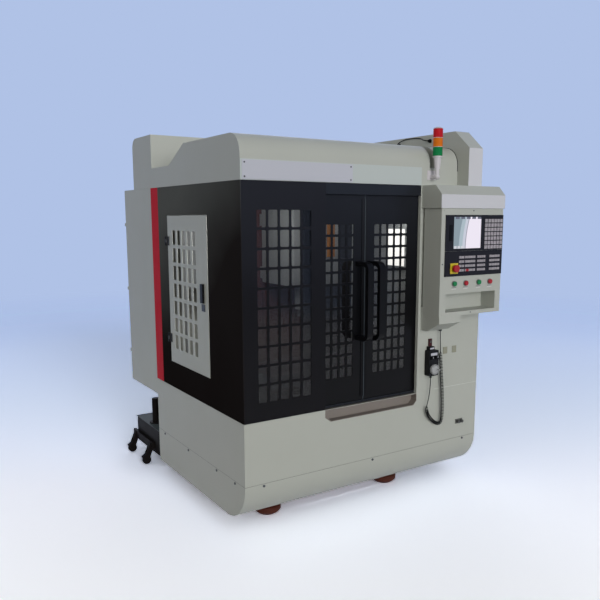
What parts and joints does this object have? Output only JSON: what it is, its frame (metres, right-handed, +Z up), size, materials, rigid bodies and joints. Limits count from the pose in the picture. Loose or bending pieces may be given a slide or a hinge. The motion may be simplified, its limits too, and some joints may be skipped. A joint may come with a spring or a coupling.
{
  "type": "cnc machining center",
  "caption": "Vertical machining center: cream and black sheet-metal enclosure with latticed sliding doors, hooded control station, signal tower, hand pendant and coolant tank.",
  "frame": {"origin": "centre of the whole machine's bounding box, on the floor", "axes": "+X to the right seen from the front, +Y from the front to the electrical cabinet, +Z up"},
  "size_m": [1.644, 1.8394, 2.056],
  "materials": {
    "cream_paint": "satin",
    "black_paint": "satin",
    "red_paint": "satin",
    "pocket_paint": "satin",
    "lining_paint": "satin",
    "casting_primer": "painted matt",
    "machined_steel": "ground",
    "head_paint": "satin",
    "foot_plastic": "moulded",
    "window_glass": "clear",
    "sign_white": "satin",
    "handle_black": "satin",
    "panel_black": "satin",
    "screen_glass": "gloss",
    "key_grey": "satin",
    "yellow_plate": "gloss",
    "red_plastic": "gloss",
    "green_plastic": "gloss",
    "lens_red": "gloss",
    "lens_amber": "gloss",
    "lens_green": "gloss",
    "tower_white": "satin",
    "cord_rubber": "matt",
    "dial_grey": "satin",
    "hinge_black": "satin",
    "tank_black": "gloss",
    "fitting_brass": "dull"
  },
  "bodies": {
    "enclosure": {"lower_valance": "cream_paint", "front_panel": "cream_paint", "left_base_panel": "cream_paint", "right_side_panel": "cream_paint", "sill_pocket": "pocket_paint", "left_side_panel": "black_paint", "left_stripe": "red_paint", "front_left_panel": "black_paint", "front_window_pane": "window_glass", "door_header": "black_paint", "access_hinges": "hinge_black", "main_hood": "cream_paint", "right_hood": "cream_paint", "sign_plate": "sign_white", "rear_top_box": "cream_paint", "cabinet_shell": "cream_paint", "cable_duct": "cream_paint", "duct_lead": "cord_rubber", "control_box": "cream_paint", "control_hood": "cream_paint", "control_fascia": "cream_paint", "cnc_bezel": "panel_black", "display_screen": "screen_glass", "operator_panel": "panel_black", "panel_keys": "key_grey", "button_plates": "yellow_plate", "tower_stand": "tower_white", "lens_green": "lens_green", "lens_amber": "lens_amber", "lens_red": "lens_red", "pendant_body": "panel_black", "panel_fittings": "fitting_brass", "curly_cord": "cord_rubber", "levelling_feet": "foot_plastic", "bed_casting": "casting_primer", "column_casting": "casting_primer", "chamber_lining": "lining_paint"},
    "left_door": {"left_door": "black_paint", "left_door_pane": "window_glass", "left_handle": "handle_black"},
    "right_door": {"right_door": "black_paint", "right_door_pane": "window_glass", "right_handle": "handle_black"},
    "access_door": {"access_door": "cream_paint"},
    "access_latch": {"access_latch": "hinge_black"},
    "cabinet_door_left": {"cabinet_door_left": "cream_paint"},
    "cabinet_door_right": {"cabinet_door_right": "cream_paint"},
    "saddle": {"saddle": "casting_primer"},
    "table": {"table": "machined_steel"},
    "head": {"head": "head_paint"},
    "spindle": {"spindle": "machined_steel"},
    "handwheel": {"handwheel": "dial_grey"},
    "axis_knob": {"axis_knob": "dial_grey"},
    "range_knob": {"range_knob": "dial_grey"},
    "estop_button": {"estop_button": "red_plastic"},
    "push_button_1": {"push_button_1": "green_plastic"},
    "push_button_2": {"push_button_2": "red_plastic"},
    "push_button_3": {"push_button_3": "green_plastic"},
    "push_button_4": {"push_button_4": "red_plastic"},
    "coolant_tank": {"coolant_tank": "tank_black"}
  },
  "joints": [
    {"name": "left_door_slide", "type": "slide", "parent": "enclosure", "child": "left_door", "axis": [-1, 0, 0], "range_m": [0, 0.198]},
    {"name": "right_door_slide", "type": "slide", "parent": "enclosure", "child": "right_door", "axis": [1, 0, 0], "range_m": [0, 0.3]},
    {"name": "access_door_hinge", "type": "hinge", "parent": "enclosure", "child": "access_door", "pos_m": [-0.77, 0.15975, 1.172], "axis": [0, 0, -1], "range_deg": [0, 110]},
    {"name": "access_latch_turn", "type": "hinge", "parent": "access_door", "child": "access_latch", "pos_m": [-0.766, -0.31525, 1.192], "axis": [-1, 0, 0], "range_deg": [0, 90]},
    {"name": "cabinet_left_hinge", "type": "hinge", "parent": "enclosure", "child": "cabinet_door_left", "pos_m": [-0.754, 0.91175, 1.127], "axis": [0, 0, 1], "range_deg": [0, 110]},
    {"name": "cabinet_right_hinge", "type": "hinge", "parent": "enclosure", "child": "cabinet_door_right", "pos_m": [0.802, 0.91175, 1.127], "axis": [0, 0, -1], "range_deg": [0, 110]},
    {"name": "y_axis", "type": "slide", "parent": "enclosure", "child": "saddle", "axis": [0, 1, 0], "range_m": [-0.11, 0.11]},
    {"name": "x_axis", "type": "slide", "parent": "saddle", "child": "table", "axis": [1, 0, 0], "range_m": [-0.15, 0.15]},
    {"name": "z_axis", "type": "slide", "parent": "enclosure", "child": "head", "axis": [0, 0, 1], "range_m": [-0.22, 0.1]},
    {"name": "spindle_spin", "type": "hinge", "parent": "head", "child": "spindle", "pos_m": [-0.089, -0.26425, 1.1], "axis": [0, 0, 1], "continuous": true},
    {"name": "handwheel_spin", "type": "hinge", "parent": "enclosure", "child": "handwheel", "pos_m": [0.421, -0.79425, 0.734], "axis": [0, -1, 0], "continuous": true},
    {"name": "axis_knob_turn", "type": "hinge", "parent": "enclosure", "child": "axis_knob", "pos_m": [0.403, -0.79425, 0.8], "axis": [0, -1, 0], "range_deg": [-60, 60]},
    {"name": "range_knob_turn", "type": "hinge", "parent": "enclosure", "child": "range_knob", "pos_m": [0.439, -0.79425, 0.8], "axis": [0, -1, 0], "range_deg": [-60, 60]},
    {"name": "estop_press", "type": "slide", "parent": "enclosure", "child": "estop_button", "axis": [0, 1, 0], "range_m": [0, 0.007]},
    {"name": "push_button_1_press", "type": "slide", "parent": "enclosure", "child": "push_button_1", "axis": [0, 1, 0], "range_m": [0, 0.003], "stiffness_N_per_m": 400},
    {"name": "push_button_2_press", "type": "slide", "parent": "enclosure", "child": "push_button_2", "axis": [0, 1, 0], "range_m": [0, 0.003], "stiffness_N_per_m": 400},
    {"name": "push_button_3_press", "type": "slide", "parent": "enclosure", "child": "push_button_3", "axis": [0, 1, 0], "range_m": [0, 0.003], "stiffness_N_per_m": 400},
    {"name": "push_button_4_press", "type": "slide", "parent": "enclosure", "child": "push_button_4", "axis": [0, 1, 0], "range_m": [0, 0.003], "stiffness_N_per_m": 400},
    {"name": "tank_roll_out", "type": "slide", "parent": "enclosure", "child": "coolant_tank", "axis": [0, 1, 0], "range_m": [0, 0.8]}
  ]
}
